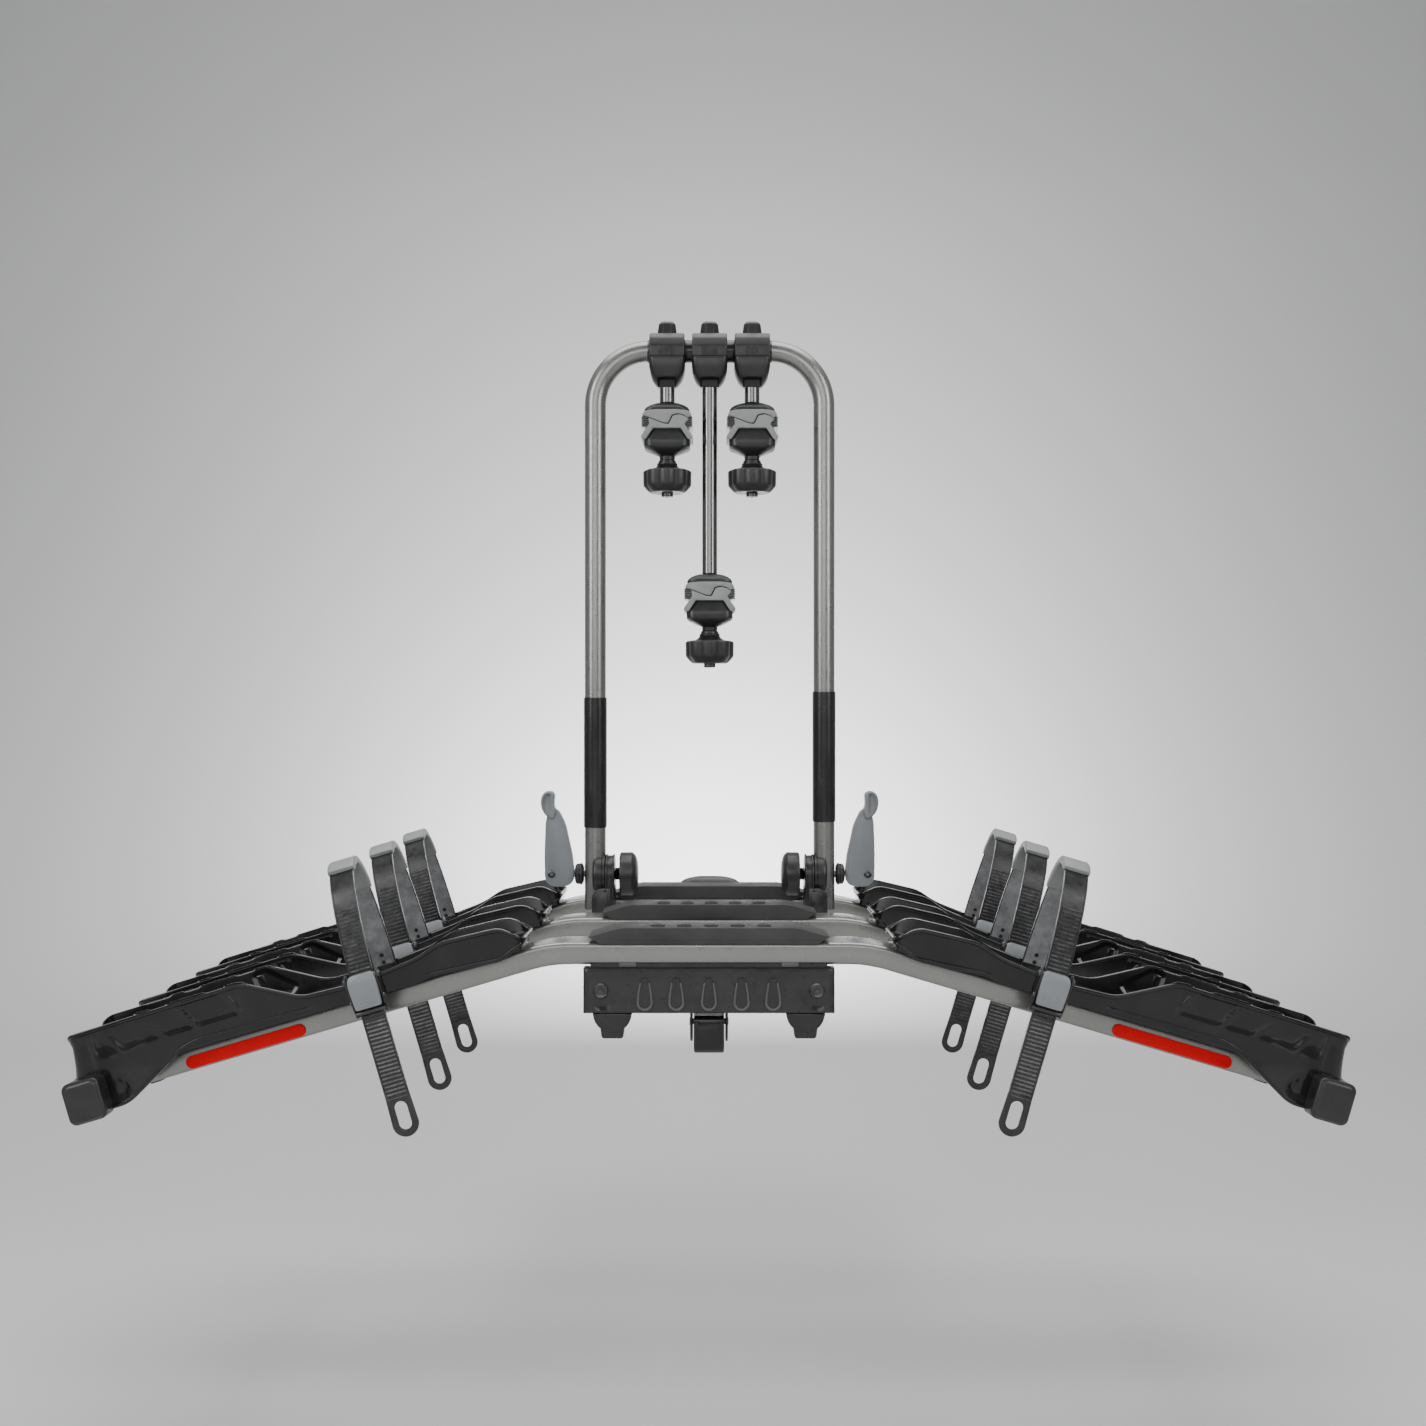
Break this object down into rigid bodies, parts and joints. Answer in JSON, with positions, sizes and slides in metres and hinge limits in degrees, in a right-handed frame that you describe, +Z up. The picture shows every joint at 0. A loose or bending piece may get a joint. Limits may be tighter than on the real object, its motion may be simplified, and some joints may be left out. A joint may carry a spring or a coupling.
{
  "type": "hitch bike rack",
  "caption": "Folding platform rack that slides into a vehicle's square hitch receiver and carries bicycles on drooping wheel trays, held by a fold-down mast with clamp arms and ratchet straps.",
  "frame": {"origin": "centre of the end face of the shank that slides into the receiver", "axes": "+Y towards the vehicle along the shank, +Z up, +X to the right seen from behind the vehicle, along the wheel trays"},
  "size_m": [1.238, 0.805, 0.8816],
  "materials": {
    "silver_paint": "satin silver-grey powder coat",
    "black_paint": "satin black powder coat",
    "tray_plastic": "glossy moulded black plastic",
    "strap_plastic": "semi-flexible ribbed black plastic",
    "black_plastic": "fine-grained moulded black plastic",
    "grey_plastic": "satin moulded grey plastic",
    "zinc_steel": "black-zinc plated fasteners",
    "rod_steel": "dark gloss coated rod",
    "reflector_red": "red retroreflective strip"
  },
  "bodies": {
    "hitch": {"hitch_shank": "black_paint", "tilt_bolt": "zinc_steel"},
    "platform": {"base_spine": "black_paint", "rear_plate": "black_paint", "pedal_bracket": "black_paint", "rail_rear": "silver_paint", "centre_cover_rear": "black_plastic", "rail_middle": "silver_paint", "centre_cover_middle": "black_plastic", "rail_front": "silver_paint", "centre_cover_front": "black_plastic", "foot_left": "black_plastic", "mast_bracket_left": "black_paint", "quick_release_shaft_left": "zinc_steel", "cross_tube_left": "black_paint", "end_cap_left_rear": "black_plastic", "end_cap_left_front": "black_plastic", "tray_rear_left": "tray_plastic", "strap_rear_left": "strap_plastic", "tray_middle_left": "tray_plastic", "strap_middle_left": "strap_plastic", "tray_front_left": "tray_plastic", "strap_front_left": "strap_plastic", "foot_right": "black_plastic", "mast_bracket_right": "black_paint", "quick_release_shaft_right": "zinc_steel", "cross_tube_right": "black_paint", "end_cap_right_rear": "black_plastic", "end_cap_right_front": "black_plastic", "tray_rear_right": "tray_plastic", "strap_rear_right": "strap_plastic", "tray_middle_right": "tray_plastic", "strap_middle_right": "strap_plastic", "tray_front_right": "tray_plastic", "strap_front_right": "strap_plastic"},
    "pedal": {"tilt_pedal": "black_plastic"},
    "handle": {"release_handle": "grey_plastic"},
    "mast": {"mast": "silver_paint"},
    "lever_left": {"quick_release_lever_left": "grey_plastic"},
    "mast_knob_left": {"mast_knob_left": "black_plastic"},
    "buckle_rear_left": {"buckle_rear_left": "grey_plastic"},
    "buckle_middle_left": {"buckle_middle_left": "grey_plastic"},
    "buckle_front_left": {"buckle_front_left": "grey_plastic"},
    "lever_right": {"quick_release_lever_right": "grey_plastic"},
    "mast_knob_right": {"mast_knob_right": "black_plastic"},
    "buckle_rear_right": {"buckle_rear_right": "grey_plastic"},
    "buckle_middle_right": {"buckle_middle_right": "grey_plastic"},
    "buckle_front_right": {"buckle_front_right": "grey_plastic"},
    "arm_left": {"arm_head_left": "black_plastic", "arm_rod_left": "rod_steel"},
    "clamp_left": {"frame_clamp_left": "black_plastic"},
    "clamp_knob_left": {"clamp_knob_left": "black_plastic"},
    "arm_middle": {"arm_head_middle": "black_plastic", "arm_rod_middle": "rod_steel"},
    "clamp_middle": {"frame_clamp_middle": "black_plastic"},
    "clamp_knob_middle": {"clamp_knob_middle": "black_plastic"},
    "arm_right": {"arm_head_right": "black_plastic", "arm_rod_right": "rod_steel"},
    "clamp_right": {"frame_clamp_right": "black_plastic"},
    "clamp_knob_right": {"clamp_knob_right": "black_plastic"}
  },
  "joints": [
    {"name": "platform_tilt", "type": "hinge", "parent": "hitch", "child": "platform", "pos_m": [0, -0.28, 0], "axis": [1, 0, 0], "range_deg": [0, 30]},
    {"name": "pedal_press", "type": "hinge", "parent": "platform", "child": "pedal", "pos_m": [0, -0.712, -0.038], "axis": [1, 0, 0], "range_deg": [0, 18], "stiffness_Nm_per_rad": 2, "springref_deg": -5.73},
    {"name": "handle_lift", "type": "slide", "parent": "platform", "child": "handle", "axis": [0, 0, 1], "range_m": [0, 0.012]},
    {"name": "mast_fold", "type": "hinge", "parent": "platform", "child": "mast", "pos_m": [0, -0.41, 0.081], "axis": [-1, 0, 0], "range_deg": [-85, 0]},
    {"name": "lever_open_left", "type": "hinge", "parent": "platform", "child": "lever_left", "pos_m": [-0.1895, -0.41, 0.081], "axis": [0, -1, 0], "range_deg": [0, 90]},
    {"name": "mast_knob_turn_left", "type": "hinge", "parent": "platform", "child": "mast_knob_left", "pos_m": [-0.1, -0.41, 0.081], "axis": [1, 0, 0], "continuous": true},
    {"name": "lever_open_right", "type": "hinge", "parent": "platform", "child": "lever_right", "pos_m": [0.1895, -0.41, 0.081], "axis": [0, 1, 0], "range_deg": [0, 90]},
    {"name": "mast_knob_turn_right", "type": "hinge", "parent": "platform", "child": "mast_knob_right", "pos_m": [0.1, -0.41, 0.081], "axis": [1, 0, 0], "continuous": true},
    {"name": "arm_swing_left", "type": "hinge", "parent": "mast", "child": "arm_left", "pos_m": [-0.051, -0.41, 0.709], "axis": [-1, 0, 0], "range_deg": [-15, 120]},
    {"name": "clamp_turn_left", "type": "hinge", "parent": "arm_left", "child": "clamp_left", "pos_m": [-0.051, -0.41, 0.616], "axis": [0, 0, 1], "range_deg": [-90, 90]},
    {"name": "clamp_knob_turn_left", "type": "hinge", "parent": "clamp_left", "child": "clamp_knob_left", "pos_m": [-0.051, -0.41, 0.556], "axis": [0, 0, 1], "continuous": true},
    {"name": "arm_swing_middle", "type": "hinge", "parent": "mast", "child": "arm_middle", "pos_m": [0, -0.41, 0.709], "axis": [-1, 0, 0], "range_deg": [-15, 120]},
    {"name": "clamp_turn_middle", "type": "hinge", "parent": "arm_middle", "child": "clamp_middle", "pos_m": [0, -0.41, 0.411], "axis": [0, 0, 1], "range_deg": [-90, 90]},
    {"name": "clamp_knob_turn_middle", "type": "hinge", "parent": "clamp_middle", "child": "clamp_knob_middle", "pos_m": [0, -0.41, 0.351], "axis": [0, 0, 1], "continuous": true},
    {"name": "arm_swing_right", "type": "hinge", "parent": "mast", "child": "arm_right", "pos_m": [0.051, -0.41, 0.709], "axis": [-1, 0, 0], "range_deg": [-15, 120]},
    {"name": "clamp_turn_right", "type": "hinge", "parent": "arm_right", "child": "clamp_right", "pos_m": [0.051, -0.41, 0.616], "axis": [0, 0, 1], "range_deg": [-90, 90]},
    {"name": "clamp_knob_turn_right", "type": "hinge", "parent": "clamp_right", "child": "clamp_knob_right", "pos_m": [0.051, -0.41, 0.556], "axis": [0, 0, 1], "continuous": true},
    {"name": "buckle_open_rear_left", "type": "hinge", "parent": "platform", "child": "buckle_rear_left", "pos_m": [-0.33421, -0.794, 0.01922], "axis": [-0.9588, 0, -0.284], "range_deg": [0, 60]},
    {"name": "buckle_open_middle_left", "type": "hinge", "parent": "platform", "child": "buckle_middle_left", "pos_m": [-0.33421, -0.604, 0.01922], "axis": [-0.9588, 0, -0.284], "range_deg": [0, 60]},
    {"name": "buckle_open_front_left", "type": "hinge", "parent": "platform", "child": "buckle_front_left", "pos_m": [-0.33421, -0.414, 0.01922], "axis": [-0.9588, 0, -0.284], "range_deg": [0, 60]},
    {"name": "buckle_open_rear_right", "type": "hinge", "parent": "platform", "child": "buckle_rear_right", "pos_m": [0.33421, -0.794, 0.01922], "axis": [-0.9588, 0, 0.284], "range_deg": [0, 60]},
    {"name": "buckle_open_middle_right", "type": "hinge", "parent": "platform", "child": "buckle_middle_right", "pos_m": [0.33421, -0.604, 0.01922], "axis": [-0.9588, 0, 0.284], "range_deg": [0, 60]},
    {"name": "buckle_open_front_right", "type": "hinge", "parent": "platform", "child": "buckle_front_right", "pos_m": [0.33421, -0.414, 0.01922], "axis": [-0.9588, 0, 0.284], "range_deg": [0, 60]}
  ],
  "couplings": [
    {"joint": "handle_lift", "follows": "pedal_press", "m_per_rad": 0.038}
  ]
}
